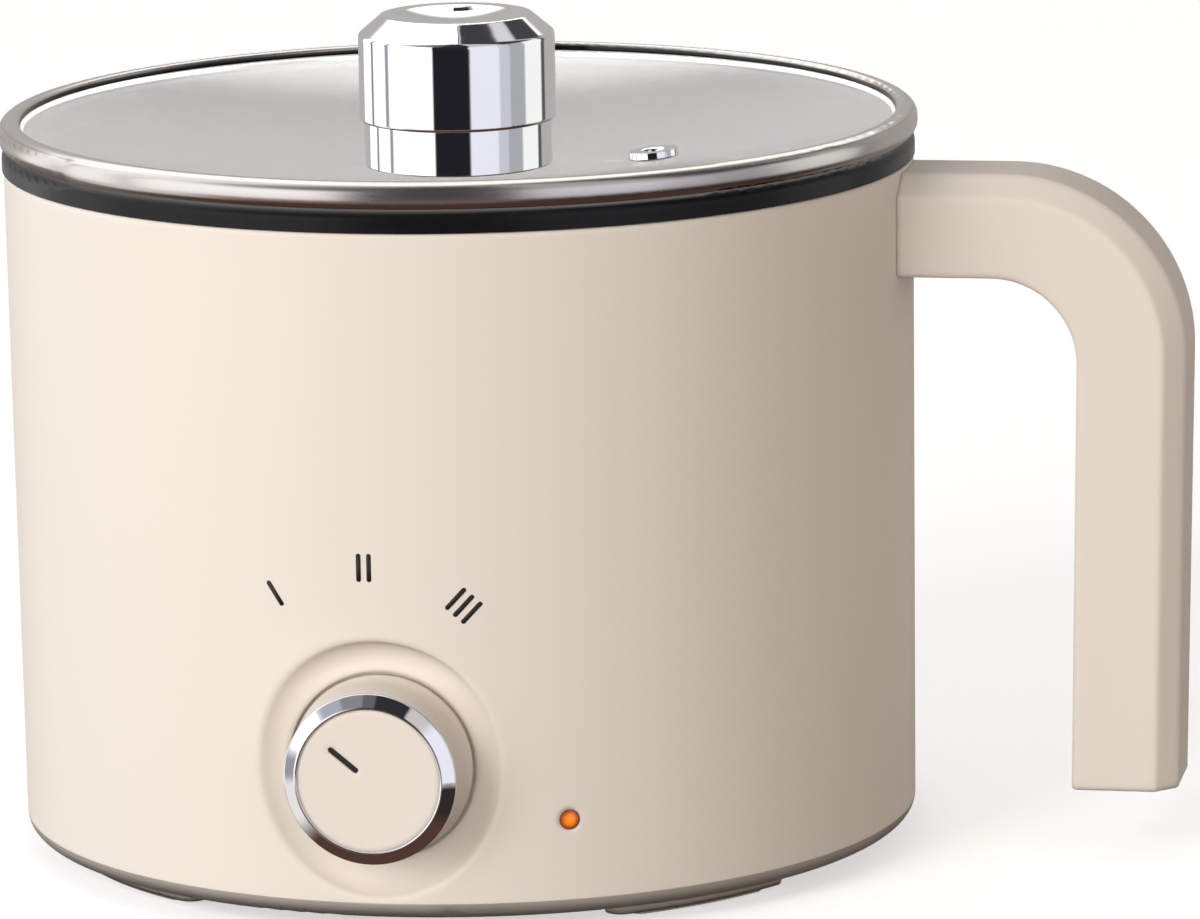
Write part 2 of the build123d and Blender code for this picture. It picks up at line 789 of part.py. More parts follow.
face_front = ring_front - dial_face_recess
pointer_middle = pointer_inner + pointer_length / 2
with BuildPart() as dial_face:
    with BuildSketch(dial_plane.offset(dial_top)):
        Circle(ring_inner - dial_fit)
    extrude(amount=face_front - dial_top)
    with BuildSketch(dial_plane.offset(face_front)):
        with PolarLocations(pointer_middle, 1, start_angle=90 + pointer_angle):
            SlotOverall(pointer_length + 2 * dial_fit, pointer_width + 2 * dial_fit)
    extrude(amount=-pointer_depth, mode=Mode.SUBTRACT)
dial_face.part.label = "dial_face"

with BuildPart() as dial_pointer:
    with BuildSketch(dial_plane.offset(face_front - pointer_depth)):
        with PolarLocations(pointer_middle, 1, start_angle=90 + pointer_angle):
            SlotOverall(pointer_length, pointer_width)
    extrude(amount=pointer_depth / 2)
dial_pointer.part.label = "dial_pointer"

# Lamp: domed lens through the wall, held by its flange and the lamp body behind it
lens_back = -shell_wall - lamp_clearance - lamp_flange_thickness
with BuildPart() as lamp_lens:
    with BuildSketch(lamp_section):
        with BuildLine():
            Polyline(
                (0, lamp_proud),
                (0, lens_back),
                (lamp_flange_radius, lens_back),
                (lamp_flange_radius, lens_back + lamp_flange_thickness),
                (lamp_radius, lens_back + lamp_flange_thickness),
                (lamp_radius, 0),
            )
            ThreePointArc(
                (lamp_radius, 0),
                (lamp_radius / 2, lamp_proud - dome_drop(lamp_radius / 2, lamp_proud, lamp_radius)),
                (0, lamp_proud),
            )
        make_face()
    revolve(axis=lamp_axis)
lamp_lens.part.label = "lamp_lens"

with BuildPart() as lamp_body:
    with BuildSketch(lamp_plane.offset(lens_back)):
        Circle(lamp_body_radius)
    extrude(amount=-lamp_body_length)
    with BuildSketch(lamp_plane.offset(lens_back - lamp_body_length)):
        with Locations((lamp_body_radius / 2, 0), (-lamp_body_radius / 2, 0)):
            Circle(lamp_lead_radius)
    extrude(amount=-lamp_lead_length)
lamp_body.part.label = "lamp_body"

# Power inlet: flanged socket that snaps into the back wall, with three blades
socket_floor = inlet_flange_thickness - inlet_socket_depth
pin_places = [
    (-inlet_pin_pitch, -inlet_pin_offset),
    (0, inlet_pin_offset),
    (inlet_pin_pitch, -inlet_pin_offset),
]
with BuildPart() as power_inlet:
    with BuildSketch(inlet_plane):
        RectangleRounded(inlet_flange_width, inlet_flange_height, inlet_corner)
    extrude(amount=inlet_flange_thickness)
    with BuildSketch(inlet_plane):
        RectangleRounded(inlet_body_width, inlet_body_height, inlet_corner)
    extrude(amount=-inlet_body_depth)
    snap_start = -inlet_wall - inlet_clearance
    snap_plane = Plane(origin=inlet_plane.origin, x_dir=(1, 0, 0), z_dir=(0, 0, 1))
    with BuildSketch(snap_plane):
        for side in (-1, 1):
            with BuildLine():
                Polyline(
                    (side * (inlet_body_width / 2 - inlet_snap), snap_start),
                    (side * (inlet_body_width / 2 + inlet_snap), snap_start),
                    (side * (inlet_body_width / 2 - inlet_snap), snap_start - inlet_snap_ramp),
                    close=True,
                )
            make_face()
    extrude(amount=inlet_body_height / 4, both=True)
    with BuildSketch(inlet_plane.offset(inlet_flange_thickness)):
        RectangleRounded(inlet_socket_width, inlet_socket_height, inlet_corner / 2)
    extrude(amount=-inlet_socket_depth, mode=Mode.SUBTRACT)
    with BuildSketch(inlet_plane.offset(socket_floor)):
        with Locations(*pin_places):
            Rectangle(inlet_pin_width + 2 * dial_fit, inlet_pin_height + 2 * dial_fit)
    extrude(amount=-inlet_body_depth, mode=Mode.SUBTRACT)
power_inlet.part.label = "power_inlet"

with BuildPart() as inlet_pins:
    with BuildSketch(inlet_plane.offset(inlet_flange_thickness - inlet_pin_setback)):
        with Locations(*pin_places):
            Rectangle(inlet_pin_width, inlet_pin_height)
    extrude(amount=inlet_pin_setback - inlet_flange_thickness - inlet_body_depth - inlet_tail_length)
inlet_pins.part.label = "inlet_pins"

# Insulated leads through the base: live to the switch, switch to the thermostat, earth to a stud
pin_tail = inlet_face - inlet_body_depth - inlet_tail_length - lead_gap
blade_tail = switch_blade_length - switch_back - dish_floor + lead_gap
blade_level = dial_height - switch_blade_pitch
live_level = inlet_height - inlet_pin_offset
earth_level = inlet_height + inlet_pin_offset
thermostat_blade_x = thermostat_radius / 2
thermostat_tail = heater_underside - thermostat_height - thermostat_blade_length - lead_gap
earth_turn = Vector(0, pin_tail - lead_straight, earth_level)
earth_stud = Vector(stud_circle_radius, 0, earth_level).rotate(Axis.Z, stud_start_angle)
earth_way = (earth_stud - earth_turn).normalized()
lead_routes = {
    "live_lead": [
        (inlet_pin_pitch, pin_tail, live_level),
        (inlet_pin_pitch, pin_tail - lead_straight, live_level),
        (switch_blade_pitch, blade_tail + lead_straight, blade_level),
        (switch_blade_pitch, blade_tail, blade_level),
    ],
    "thermostat_lead": [
        (-switch_blade_pitch, blade_tail, blade_level),
        (-switch_blade_pitch, -lead_straight, blade_level),
        (-thermostat_blade_x, 0, blade_level),
        (-thermostat_blade_x, 0, thermostat_tail),
    ],
    "earth_lead": [
        (0, pin_tail, earth_level),
        earth_turn,
        earth_stud - earth_way * (stud_radius + lead_gap),
    ],
}
leads = []
for name, route in lead_routes.items():
    with BuildPart() as lead:
        with BuildLine():
            bends = [lead_bend, lead_tight_bend][: len(route) - 2]
            run = FilletPolyline(*route, radius=bends)
        with BuildSketch(Plane(origin=run @ 0, z_dir=run % 0)):
            Circle(lead_radius)
        sweep(path=run)
    lead.part.label = name
    leads.append(lead)

# Handle: a hollow L-shaped grip with chamfered outer edges and an inner cover strip
handle_corner_x = shell_top_radius + handle_reach
handle_inner_x = handle_corner_x - handle_leg_depth
handle_root_x = shell_top_radius / 2


def outer_bend(inset):
    """Corner points and radius of the handle's outer line, moved in by an inset."""
    points = [
        (handle_root_x, handle_top - inset),
        (handle_corner_x - inset, handle_top - inset),
        (handle_corner_x - handle_outer_lean - inset, handle_bottom),
    ]
    return points, handle_outer_radius - inset


def inner_bend(inset, start_x, end_z):
    """Corner points and radius of the handle's inner line, moved into the grip by an inset."""
    share = (handle_under + inset - end_z) / (handle_under - handle_bottom)
    points = [
        (start_x, handle_under + inset),
        (handle_inner_x + inset, handle_under + inset),
        (handle_inner_x - handle_inner_lean * share + inset, end_z),
    ]
    return points, handle_inner_radius + inset


cover_start_x = shell_top_radius + handle_root_block
cover_end_z = handle_bottom + handle_cover_margin
cover_half_width = handle_width / 2 - handle_cover_inset
with BuildPart() as handle_grip:
    with BuildSketch(Plane.XZ):
        with BuildLine():
            points, bend = outer_bend(0)
            outer_line = FilletPolyline(*points, radius=bend)
            points, bend = inner_bend(0, handle_root_x, handle_bottom)
            inner_line = FilletPolyline(*points, radius=bend)
            Line(outer_line @ 1, inner_line @ 1)
            Line(inner_line @ 0, outer_line @ 0)
        make_face()
    extrude(amount=handle_width / 2, both=True)
    outer_edges = []
    for edge in handle_grip.edges():
        middle = edge @ 0.5
        on_side = abs(middle.Y) > handle_width / 2 - edge_tolerance
        if on_side and outer_line.distance_to(Vector(middle.X, middle.Z, 0)) < edge_tolerance:
            outer_edges.append(edge)
    chamfer(outer_edges, handle_chamfer)
    long_edges = []
    for edge in handle_grip.edges():
        middle = edge @ 0.5
        lengthwise = abs((edge @ 0).Y - (edge @ 1).Y) < edge_tolerance
        on_root = middle.X < handle_root_x + edge_tolerance
        on_end = middle.Z < handle_bottom + edge_tolerance
        if lengthwise and not on_root and not on_end:
            long_edges.append(edge)
    fillet(long_edges, handle_edge_rounding)
    fillet(handle_grip.faces().sort_by(Axis.Z)[0].edges(), handle_edge_rounding)
    with BuildSketch(Plane.XZ):
        with BuildLine():
            Polyline(
                (0, handle_bottom),
                (shell_radius(handle_bottom) + handle_seam, handle_bottom),
                (shell_radius(rim_top) + handle_seam, rim_top),
                (0, rim_top),
                close=True,
            )
        make_face()
    revolve(axis=Axis.Z, mode=Mode.SUBTRACT)
    with BuildSketch(Plane.XZ):
        with BuildLine():
            points, bend = inner_bend(
                handle_cover_thickness + handle_cover_gap,
                cover_start_x - handle_cover_gap,
                cover_end_z - handle_cover_gap,
            )
            seat_line = FilletPolyline(*points, radius=bend)
            points, bend = inner_bend(
                -handle_edge_rounding, cover_start_x - handle_cover_gap, cover_end_z - handle_cover_gap
            )
            mouth_line = FilletPolyline(*points, radius=bend)
            Line(seat_line @ 1, mouth_line @ 1)
            Line(mouth_line @ 0, seat_line @ 0)
        make_face()
    extrude(amount=cover_half_width + handle_cover_gap, both=True, mode=Mode.SUBTRACT)
    with BuildSketch(Plane.XZ):
        with BuildLine():
            points, bend = outer_bend(handle_wall)
            points[0] = (cover_start_x + handle_wall, handle_top - handle_wall)
            points[2] = (points[2][0], cover_end_z + handle_wall)
            roof_line = FilletPolyline(*points, radius=bend)
            points, bend = inner_bend(
                handle_cover_thickness, cover_start_x + handle_wall, cover_end_z + handle_wall
            )
            floor_line = FilletPolyline(*points, radius=bend)
            Line(roof_line @ 1, floor_line @ 1)
            Line(floor_line @ 0, roof_line @ 0)
        make_face()
    extrude(amount=cover_half_width - handle_wall / 2, both=True, mode=Mode.SUBTRACT)
    with BuildSketch(Plane.YZ.offset(shell_top_radius - shell_draft)):
        with Locations(*[(0, level) for level in handle_screw_levels]):
            Circle(screw_radius + screw_seat_gap)
    extrude(amount=handle_root_block, mode=Mode.SUBTRACT)
handle_grip.part.label = "handle_grip"

with BuildPart() as handle_cover:
    with BuildSketch(Plane.XZ):
        with BuildLine():
            points, bend = inner_bend(handle_cover_thickness, cover_start_x, cover_end_z)
            back_line = FilletPolyline(*points, radius=bend)
            points, bend = inner_bend(0, cover_start_x, cover_end_z)
            front_line = FilletPolyline(*points, radius=bend)
            Line(back_line @ 1, front_line @ 1)
            Line(front_line @ 0, back_line @ 0)
        make_face()
    extrude(amount=cover_half_width, both=True)
handle_cover.part.label = "handle_cover"

# Screws from inside the shell wall into the handle's root
screw_seat_x = shell_radius(handle_screw_height) - shell_wall - 2 * screw_seat_gap
with BuildPart() as handle_screws:
    with BuildSketch(Plane.YZ.offset(screw_seat_x)):
        with Locations(*[(0, level) for level in handle_screw_levels]):
            Circle(small_screw_head_radius + screw_clearance)
    extrude(amount=-small_screw_head_height)
    with BuildSketch(Plane.YZ.offset(screw_seat_x)):
        with Locations(*[(0, level) for level in handle_screw_levels]):
            Circle(screw_radius)
    extrude(amount=screw_grip)
handle_screws.part.label = "handle_screws"

# Lid: dished glass gripped by a rolled steel ring that rests on the pot's rim
lid_radius = rim_radius + lid_overhang
ring_bottom = rim_top + lid_seat_gap
ring_top = ring_bottom + ring_height
ring_bore = lid_radius - ring_width
glass_under = ring_bottom + ring_lip + glass_clearance
glass_edge_top = glass_under + glass_thickness
glass_radius = lid_radius - ring_wall - glass_clearance
glass_flat = ring_bore - glass_clearance


def glass_height(radius):
    """Height of the glass's top face at a radius: a shallow dish, lowest in the middle."""
    return glass_edge_top - glass_dish * (1 - (radius / glass_flat) ** 2)


knob_hole = lid_screw_radius + screw_clearance
vent_slope = 2 * glass_dish * vent_radius / glass_flat**2
vent_plane = Plane(
    origin=(vent_radius, 0, glass_height(vent_radius)), x_dir=(1, 0, vent_slope), z_dir=(-vent_slope, 0, 1)
)
with BuildPart() as lid_glass:
    middle_radius = (knob_hole + glass_flat) / 2
    with BuildSketch(Plane.XZ):
        with BuildLine():
            ThreePointArc(
                (knob_hole, glass_height(knob_hole)),
                (middle_radius, glass_height(middle_radius)),
                (glass_flat, glass_edge_top),
            )
            FilletPolyline(
                (glass_flat, glass_edge_top),
                (glass_radius, glass_edge_top),
                (glass_radius, glass_under),
                (glass_flat, glass_under),
                radius=glass_edge_rounding,
            )
            ThreePointArc(
                (glass_flat, glass_under),
                (middle_radius, glass_height(middle_radius) - glass_thickness),
                (knob_hole, glass_height(knob_hole) - glass_thickness),
            )
            Line(
                (knob_hole, glass_height(knob_hole) - glass_thickness),
                (knob_hole, glass_height(knob_hole)),
            )
        make_face()
    revolve(axis=Axis.Z)
    with BuildSketch(vent_plane):
        Circle(eyelet_neck_radius + eyelet_clearance)
    extrude(amount=2 * glass_thickness, both=True, mode=Mode.SUBTRACT)
lid_glass.part.label = "lid_glass"

with BuildPart() as lid_ring:
    channel_radius = lid_radius - ring_wall
    channel_top = glass_edge_top + glass_clearance
    with BuildSketch(Plane.XZ):
        with BuildLine():
            FilletPolyline(
                (ring_bore, channel_top),
                (ring_bore, ring_top),
                (lid_radius, ring_top),
                (lid_radius, ring_bottom),
                (ring_bore, ring_bottom),
                (ring_bore, ring_bottom + ring_lip),
                radius=[ring_rounding / 2, ring_rounding, ring_under_rounding, 0],
            )
            FilletPolyline(
                (ring_bore, ring_bottom + ring_lip),
                (channel_radius, ring_bottom + ring_lip),
                (channel_radius, channel_top),
                (ring_bore, channel_top),
                radius=glass_edge_rounding,
            )
        make_face()
    revolve(axis=Axis.Z)
lid_ring.part.label = "lid_ring"

# Steam vent eyelet: rounded flange on the glass, neck through it, flared lip beneath
with BuildPart() as vent_eyelet:
    eyelet_section = Plane(origin=vent_plane.origin, x_dir=vent_plane.x_dir, z_dir=(0, -1, 0))
    lip_top = -glass_thickness - glass_clearance
    with BuildSketch(eyelet_section):
        with BuildLine():
            FilletPolyline(
                (eyelet_bore, lip_top - eyelet_flare),
                (eyelet_bore, eyelet_proud),
                (eyelet_radius, eyelet_proud),
                (eyelet_radius, glass_clearance),
                (eyelet_neck_radius, glass_clearance),
                (eyelet_neck_radius, lip_top),
                (eyelet_neck_radius + eyelet_flare, lip_top - eyelet_flare),
                (eyelet_bore, lip_top - eyelet_flare),
                radius=[eyelet_flare, eyelet_flare, 0, 0, 0, 0, 0],
            )
        make_face()
    revolve(axis=Axis(vent_plane.origin, vent_plane.z_dir))
vent_eyelet.part.label = "vent_eyelet"

# Lid knob: neck on the glass, chrome cap with a chamfered shoulder and a dished top, screw from below
neck_radius = knob_radius - neck_inset
neck_bottom = glass_height(neck_radius) + glass_clearance
neck_top = glass_height(0) + neck_height + washer_thickness
with BuildPart() as lid_knob_neck:
    with BuildSketch(Plane.XZ):
        with BuildLine():
            Polyline(
                (knob_hole, neck_bottom),
                (neck_radius, neck_bottom),
                (neck_radius, neck_top),
                (knob_hole, neck_top),
                close=True,
            )
        make_face()
    revolve(axis=Axis.Z)
lid_knob_neck.part.label = "lid_knob_neck"

knob_top = neck_top + knob_height
screw_end = neck_top + lid_screw_grip
with BuildPart() as lid_knob:
    shoulder_radius = knob_radius - knob_chamfer_width
    hollow_radius = shoulder_radius - knob_rim
    with BuildSketch(Plane.XZ):
        with BuildLine():
            FilletPolyline(
                (lid_screw_radius + screw_seat_gap, neck_top),
                (knob_radius, neck_top),
                (knob_radius, knob_top - knob_chamfer_height),
                (shoulder_radius, knob_top),
                (hollow_radius, knob_top),
                radius=[knob_edge_rounding, 2 * knob_edge_rounding, knob_edge_rounding],
            )
            hollow_rise = dome_drop(hollow_radius / 2, knob_dish, hollow_radius)
            ThreePointArc(
                (hollow_radius, knob_top),
                (hollow_radius / 2, knob_top - knob_dish + hollow_rise),
                (0, knob_top - knob_dish),
            )
            Polyline(
                (0, knob_top - knob_dish),
                (0, screw_end + screw_seat_gap),
                (lid_screw_radius + screw_seat_gap, screw_end + screw_seat_gap),
                (lid_screw_radius + screw_seat_gap, neck_top),
            )
        make_face()
    revolve(axis=Axis.Z)
lid_knob.part.label = "lid_knob"

washer_bottom = glass_height(knob_hole) - glass_thickness - washer_thickness
with BuildPart() as lid_washer:
    with BuildSketch(Plane.XY.offset(washer_bottom)):
        Circle(lid_screw_head_radius + washer_thickness)
        Circle(knob_hole, mode=Mode.SUBTRACT)
    extrude(amount=washer_thickness - screw_seat_gap)
lid_washer.part.label = "lid_washer"

with BuildPart() as lid_gasket:
    with BuildSketch(Plane.XY.offset(glass_height(washer_radius) + screw_seat_gap)):
        Circle(washer_radius)
        Circle(knob_hole, mode=Mode.SUBTRACT)
    extrude(amount=neck_bottom - glass_height(washer_radius) - screw_seat_gap)
lid_gasket.part.label = "lid_gasket"

with BuildPart() as lid_screw:
    with BuildSketch(Plane.XY.offset(washer_bottom - screw_seat_gap)):
        Circle(lid_screw_head_radius)
    extrude(amount=-lid_screw_head_height)
    fillet(lid_screw.edges().group_by(Axis.Z)[0], lid_screw_head_height / 2)
    with BuildSketch(Plane.XY.offset(washer_bottom - screw_seat_gap)):
        Circle(lid_screw_radius)
    extrude(amount=screw_end - washer_bottom + screw_seat_gap)
lid_screw.part.label = "lid_screw"

os.makedirs("parts", exist_ok=True)
for piece in (
    inner_pot, rim_seal, outer_shell, base_cover, foot_pads, base_screws, heater_plate, heating_element,
    element_beads, element_pins, pot_studs, heat_shield, shield_nuts, thermostat, thermal_fuse, fuse_clip,
    thermostat_screws, switch_frame, switch_body, switch_terminals, switch_nut, switch_shaft, dial_knob,
    dial_clip, dial_ring, dial_face, dial_pointer, lamp_lens, lamp_body, power_inlet, inlet_pins,
    handle_grip, handle_cover, handle_screws, lid_glass, lid_ring, vent_eyelet, lid_knob_neck, lid_knob,
    lid_washer, lid_gasket, lid_screw, *leads,
):
    export_step(piece.part, f"parts/{piece.part.label}.step")
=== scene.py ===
import json
from math import cos, pi, radians, sin, sqrt

import bpy
from mathutils import Matrix, Vector


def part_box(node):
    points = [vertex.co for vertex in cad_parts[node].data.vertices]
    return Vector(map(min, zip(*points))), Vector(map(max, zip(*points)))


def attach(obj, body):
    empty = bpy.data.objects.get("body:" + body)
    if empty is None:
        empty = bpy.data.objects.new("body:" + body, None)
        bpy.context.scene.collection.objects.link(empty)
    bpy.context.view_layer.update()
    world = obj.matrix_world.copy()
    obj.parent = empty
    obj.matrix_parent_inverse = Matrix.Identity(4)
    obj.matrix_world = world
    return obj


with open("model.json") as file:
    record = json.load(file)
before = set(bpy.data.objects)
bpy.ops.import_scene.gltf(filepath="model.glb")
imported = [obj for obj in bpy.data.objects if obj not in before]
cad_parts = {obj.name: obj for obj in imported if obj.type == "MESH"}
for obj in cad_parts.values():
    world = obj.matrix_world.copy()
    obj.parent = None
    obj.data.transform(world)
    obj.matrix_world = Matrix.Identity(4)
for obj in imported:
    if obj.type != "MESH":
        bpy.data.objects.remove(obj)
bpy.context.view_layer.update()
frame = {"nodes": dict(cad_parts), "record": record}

MM = 0.001

# Camera, fitted to the photograph
camera_azimuth = radians(10.57)
camera_elevation = radians(11.5)
camera_roll = radians(-1.0)
camera_distance = 1622 * MM
camera_aim = Vector((27.9, 0, 76.9)) * MM
photo_width = 1200
focal_pixels = 8000
sensor_width = 36

# Key light
key_azimuth = camera_azimuth - radians(42)
key_elevation = radians(26)
key_distance = 2.0
key_size = 0.9
key_power = 15.5
key_color = (1.0, 0.97, 0.93)

# Floor and backdrop
floor_reach = 4.0
floor_glow = 0.5
white = (1.0, 1.0, 1.0)

# Soft light on dull surfaces: colours of the studio around the pot
left_wall = (3.0, 3.05, 3.1)
front_wall = (2.8, 2.72, 2.66)
right_wall = (0.58, 0.35, 0.18)
ceiling = (0.15, 0.15, 0.15)
ground = (0.05, 0.045, 0.04)

# Where each sets in, by a unit vector's part to the right for walls and up for ceiling and ground
front_band = (-1.0, 0.0)
right_band = (0.45, 1.0)
ceiling_band = (0.08, 0.6)
ground_band = (0.05, -0.2)

# Roundings that the shaders give to the edges of moulded, rolled and plated pieces
moulded_edge = 2.0 * MM
rolled_edge = 1.2 * MM
plated_edge = 0.4 * MM
edge_samples = 8

# Shell's wall: height of the rounding at its base, and how much narrower it is there than on top
wall_foot_height = 6.8 * MM
wall_draft = 0.8 * MM

# Relief that makes this rounding read as strongly as in the photograph
foot_relief = 5.3 * MM

# Darker colour in the channel of the lid's ring, by depth from the ring's outer edge and its top
dark_channel_side = 0.7 * MM
dark_channel_top = 0.5 * MM
dark_channel_fade = 0.3 * MM
dark_channel_color = (0.035, 0.04, 0.037)

# Lamp lens
lamp_turn = radians(23.5)
lens_bright_radius = 0.3 * MM
lens_dark_radius = 1.9 * MM
lens_glow = 0.7

# Hidden and small pieces: sizes of noise, height of grain, spread of tone and roughness
plain_tone_size = 6.4 * MM
plain_rough_size = 2.4 * MM
plain_grain_size = 0.8 * MM
plain_grain_height = 0.024 * MM
plain_grain_strength = 0.4
plain_dark_share = 0.86
plain_smooth_share = 0.85
plain_rough_share = 1.15

# Their colours, roughness and share of metal
plain_finishes = {
    "silicone": ((0.62, 0.60, 0.56), 0.6, 0.0),
    "foot_rubber": ((0.34, 0.32, 0.29), 0.75, 0.0),
    "aluminium": ((0.72, 0.72, 0.73), 0.4, 1.0),
    "element_steel": ((0.30, 0.28, 0.26), 0.45, 1.0),
    "zinc_steel": ((0.62, 0.63, 0.65), 0.32, 1.0),
    "ceramic": ((0.82, 0.81, 0.77), 0.7, 0.0),
    "phenolic": ((0.045, 0.035, 0.03), 0.5, 0.0),
    "brass": ((0.75, 0.60, 0.32), 0.28, 1.0),
    "white_nylon": ((0.82, 0.82, 0.80), 0.4, 0.0),
    "black_plastic": ((0.02, 0.02, 0.021), 0.38, 0.0),
    "lead_sleeve": ((0.68, 0.66, 0.60), 0.8, 0.0),
    "pointer_black": ((0.02, 0.017, 0.016), 0.45, 0.0),
}

# Printed heat marks above the dial: bars, turn about its axis, distance from it, lean of the bars
heat_marks = (
    (1, radians(-30), 39.6 * MM, radians(-33)),
    (2, radians(-2.5), 40.2 * MM, radians(0)),
    (3, radians(28), 37.1 * MM, radians(43)),
)
mark_length = 5.6 * MM
mark_width = 0.92 * MM
mark_pitch = 2.05 * MM
mark_lift = 0.04 * MM
mark_segments = 8

# Cards that metal and glass mirror: end in degrees from the camera to the picture's right, colour
half_turn = 180
card_edge = 1.0
high_cards = (
    (-115, (1.8, 1.77, 1.72)),
    (-74, (1.2, 1.2, 1.2)),
    (-58, (0.42, 0.44, 0.50)),
    (-36, (0.25, 0.25, 0.28)),
    (-20, (0.13, 0.13, 0.14)),
    (18, (0.03, 0.03, 0.035)),
    (62, (0.60, 0.59, 0.57)),
    (116, (0.05, 0.05, 0.055)),
    (127, (0.70, 0.70, 0.72)),
    (146, (0.06, 0.06, 0.065)),
    (180, (1.8, 1.77, 1.72)),
)
level_cards = (
    (-140, (0.47, 0.457, 0.444)),
    (-120, (1.3, 1.3, 1.3)),
    (-115, (0.20, 0.23, 0.28)),
    (-93, (1.4, 1.4, 1.4)),
    (-87, (0.33, 0.33, 0.37)),
    (-28, (1.4, 1.4, 1.4)),
    (16, (0.015, 0.015, 0.02)),
    (52, (0.86, 0.87, 0.96)),
    (66, (0.60, 0.61, 0.67)),
    (88, (0.42, 0.43, 0.46)),
    (118, (0.96, 0.99, 0.94)),
    (126, (0.10, 0.10, 0.11)),
    (150, (0.45, 0.44, 0.43)),
    (180, (0.46, 0.445, 0.43)),
)
low_cards = (
    (-120, (0.24, 0.20, 0.19)),
    (-70, (0.85, 0.82, 0.80)),
    (-30, (0.26, 0.18, 0.165)),
    (16, (0.17, 0.125, 0.115)),
    (120, (0.032, 0.024, 0.022)),
    (180, (0.24, 0.20, 0.19)),
)
floor_card = (0.085, 0.043, 0.031)

# High cards as the edge of the lid's glass throws them back, with a dark one behind the pot
edge_cards = ((-172.5, (0.02, 0.028, 0.024)),) + high_cards


def elevation_band(start, end):
    """Sines of two elevations in degrees, between which one ring of cards gives way to another."""
    return sin(radians(start)), sin(radians(end))


high_band = elevation_band(24, 34)
edge_band = elevation_band(38, 40)
high_again_band = elevation_band(44.5, 46.5)
low_band = elevation_band(-13, -19)
floor_band = elevation_band(-34, -50)


# Shader nodes
def plug(tree, socket, value):
    """Feeds a socket from another socket, a colour without alpha or a plain value."""
    if isinstance(value, bpy.types.NodeSocket):
        tree.links.new(value, socket)
    elif socket.type == "RGBA":
        socket.default_value = (*value, 1)
    else:
        socket.default_value = value


def math_node(tree, operation, *values):
    """A math node's output, from sockets or plain values."""
    node = tree.nodes.new("ShaderNodeMath")
    node.operation = operation
    for socket, value in zip(node.inputs, values):
        plug(tree, socket, value)
    return node.outputs["Value"]


def vector_node(tree, operation, *values):
    """A vector math node's output, from sockets or plain vectors."""
    node = tree.nodes.new("ShaderNodeVectorMath")
    node.operation = operation
    for socket, value in zip(node.inputs, values):
        plug(tree, socket, value)
    return node.outputs["Value" if operation == "LENGTH" else "Vector"]


def split_vector(tree, vector):
    """The X, Y and Z sockets of a vector socket."""
    node = tree.nodes.new("ShaderNodeSeparateXYZ")
    plug(tree, node.inputs["Vector"], vector)
    return node.outputs


def map_range(tree, value, source=(0, 1), target=(0, 1), smooth=False):
    """A socket that goes over the target range as a value goes over the source range."""
    node = tree.nodes.new("ShaderNodeMapRange")
    node.interpolation_type = "SMOOTHSTEP" if smooth else "LINEAR"
    names = ("Value", "From Min", "From Max", "To Min", "To Max")
    for name, setting in zip(names, (value, *source, *target)):
        plug(tree, node.inputs[name], setting)
    return node.outputs["Result"]


def mix_colors(tree, factor, first, second):
    """A colour socket that runs between two colours, from sockets or plain values."""
    node = tree.nodes.new("ShaderNodeMix")
    node.data_type = "RGBA"
    for name, setting in (("Factor", factor), ("A", first), ("B", second)):
        plug(tree, node.inputs[name], setting)
    return node.outputs["Result"]


